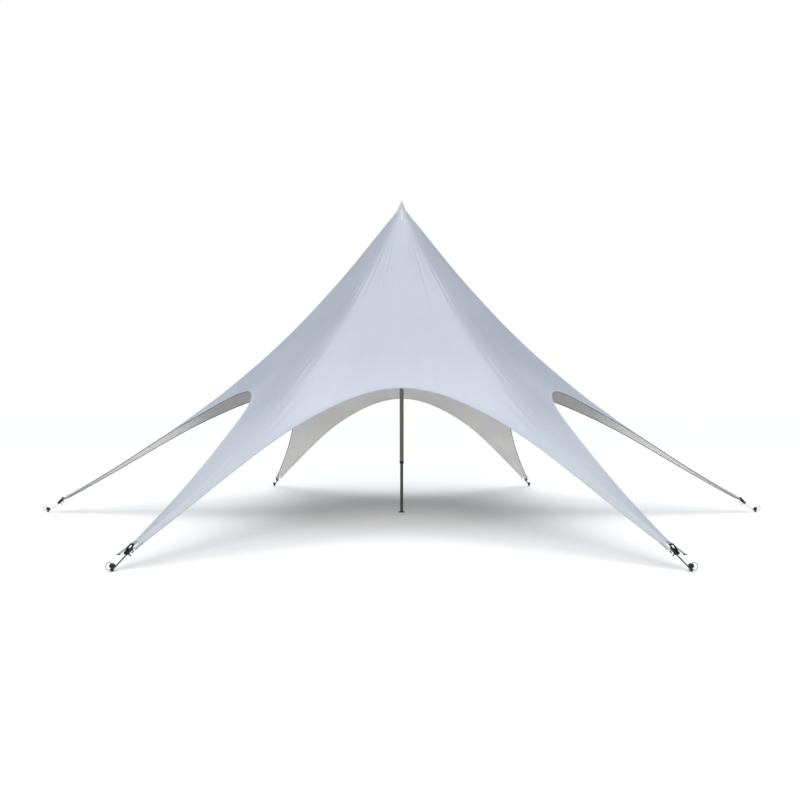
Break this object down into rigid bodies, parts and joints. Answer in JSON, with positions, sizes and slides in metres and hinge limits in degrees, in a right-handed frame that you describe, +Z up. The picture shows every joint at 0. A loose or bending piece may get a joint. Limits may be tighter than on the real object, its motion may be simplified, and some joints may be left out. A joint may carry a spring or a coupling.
{
  "type": "star tent",
  "caption": "Star-shaped tensioned canopy on a telescopic centre mast, with arched openings, its points drawn to ground pegs by ratchet straps.",
  "frame": {"origin": "on the ground under the centre of the mast's foot", "axes": "+Z up along the mast, +X towards the right leg, -Y towards the front arch"},
  "size_m": [12.983, 11.2436, 5.648],
  "materials": {
    "canopy_cloth": "coated woven polyester, white, slight sheen",
    "cap_cloth": "light grey coated cloth",
    "mast_aluminium": "anodised dark grey-green, satin",
    "black_steel": "black powder coat",
    "black_webbing": "black woven polyester webbing",
    "white_webbing": "white woven polyester webbing"
  },
  "bodies": {
    "tent": {"canopy_right_back": "canopy_cloth", "canopy_back": "canopy_cloth", "canopy_left_back": "canopy_cloth", "canopy_left_front": "canopy_cloth", "canopy_front": "canopy_cloth", "canopy_right_front": "canopy_cloth", "apex_cap": "cap_cloth", "mast_head": "black_steel", "mast_upper": "mast_aluminium", "mast_collar": "black_steel", "peg_right": "black_steel", "strap_right": "black_webbing", "ratchet_frame_right": "black_steel", "leg_web_right": "white_webbing", "peg_right_back": "black_steel", "strap_right_back": "black_webbing", "ratchet_frame_right_back": "black_steel", "leg_web_right_back": "white_webbing", "peg_left_back": "black_steel", "strap_left_back": "black_webbing", "ratchet_frame_left_back": "black_steel", "leg_web_left_back": "white_webbing", "peg_left": "black_steel", "strap_left": "black_webbing", "ratchet_frame_left": "black_steel", "leg_web_left": "white_webbing", "peg_left_front": "black_steel", "strap_left_front": "black_webbing", "ratchet_frame_left_front": "black_steel", "leg_web_left_front": "white_webbing", "peg_right_front": "black_steel", "strap_right_front": "black_webbing", "ratchet_frame_right_front": "black_steel", "leg_web_right_front": "white_webbing"},
    "mast_tube": {"mast_lower": "mast_aluminium", "mast_foot": "black_steel"},
    "handle_right": {"ratchet_handle_right": "black_steel"},
    "handle_right_back": {"ratchet_handle_right_back": "black_steel"},
    "handle_left_back": {"ratchet_handle_left_back": "black_steel"},
    "handle_left": {"ratchet_handle_left": "black_steel"},
    "handle_left_front": {"ratchet_handle_left_front": "black_steel"},
    "handle_right_front": {"ratchet_handle_right_front": "black_steel"}
  },
  "joints": [
    {"name": "mast_slide", "type": "slide", "parent": "tent", "child": "mast_tube", "axis": [0, 0, 1], "range_m": [0, 0.4]},
    {"name": "handle_right_hinge", "type": "hinge", "parent": "tent", "child": "handle_right", "pos_m": [6.2018, 0, 0.17196], "axis": [0, 1, 0], "range_deg": [0, 160]},
    {"name": "handle_right_back_hinge", "type": "hinge", "parent": "tent", "child": "handle_right_back", "pos_m": [3.1009, 5.37091, 0.17196], "axis": [-0.866, 0.5, 0], "range_deg": [0, 160]},
    {"name": "handle_left_back_hinge", "type": "hinge", "parent": "tent", "child": "handle_left_back", "pos_m": [-3.1009, 5.37091, 0.17196], "axis": [-0.866, -0.5, 0], "range_deg": [0, 160]},
    {"name": "handle_left_hinge", "type": "hinge", "parent": "tent", "child": "handle_left", "pos_m": [-6.2018, 0, 0.17196], "axis": [0, -1, 0], "range_deg": [0, 160]},
    {"name": "handle_left_front_hinge", "type": "hinge", "parent": "tent", "child": "handle_left_front", "pos_m": [-3.1009, -5.37091, 0.17196], "axis": [0.866, -0.5, 0], "range_deg": [0, 160]},
    {"name": "handle_right_front_hinge", "type": "hinge", "parent": "tent", "child": "handle_right_front", "pos_m": [3.1009, -5.37091, 0.17196], "axis": [0.866, 0.5, 0], "range_deg": [0, 160]}
  ]
}
